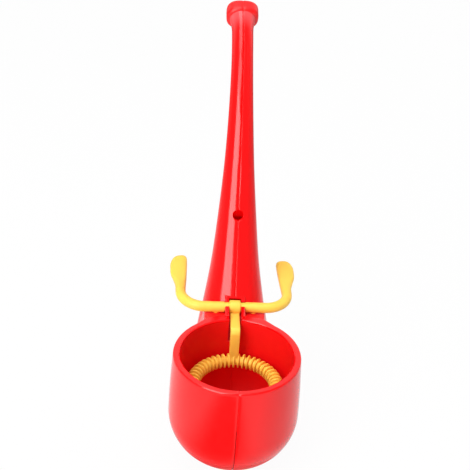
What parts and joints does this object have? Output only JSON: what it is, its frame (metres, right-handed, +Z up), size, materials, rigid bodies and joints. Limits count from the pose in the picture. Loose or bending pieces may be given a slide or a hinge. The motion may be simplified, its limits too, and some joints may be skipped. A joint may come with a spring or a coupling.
{
  "type": "bubble_pipe",
  "caption": "Toy bubble pipe in red plastic with a bent hollow stem, an air hole, and a yellow rocking finger lever that dips a ribbed ring in the bowl",
  "frame": {"origin": "The lowest point of the bowl's outside, on the bowl's upright axis", "axes": "+Z is up the bowl's axis to its open rim, +Y runs back from the bowl towards the stem and mouthpiece, +X is to the right of someone who looks along +Y"},
  "size_m": [0.0586, 0.1508, 0.167],
  "materials": {
    "red_plastic": "smooth moulded red plastic with a satin gloss",
    "yellow_plastic": "smooth moulded yellow plastic with a satin gloss"
  },
  "bodies": {
    "pipe": {"left_shell": "red_plastic", "right_shell": "red_plastic"},
    "lever": {"lever": "yellow_plastic"}
  },
  "joints": [
    {"name": "lever_hinge", "type": "hinge", "parent": "pipe", "child": "lever", "pos_m": [0, 0.035, 0.055], "axis": [-1, 0, 0], "range_deg": [0, 110]}
  ]
}
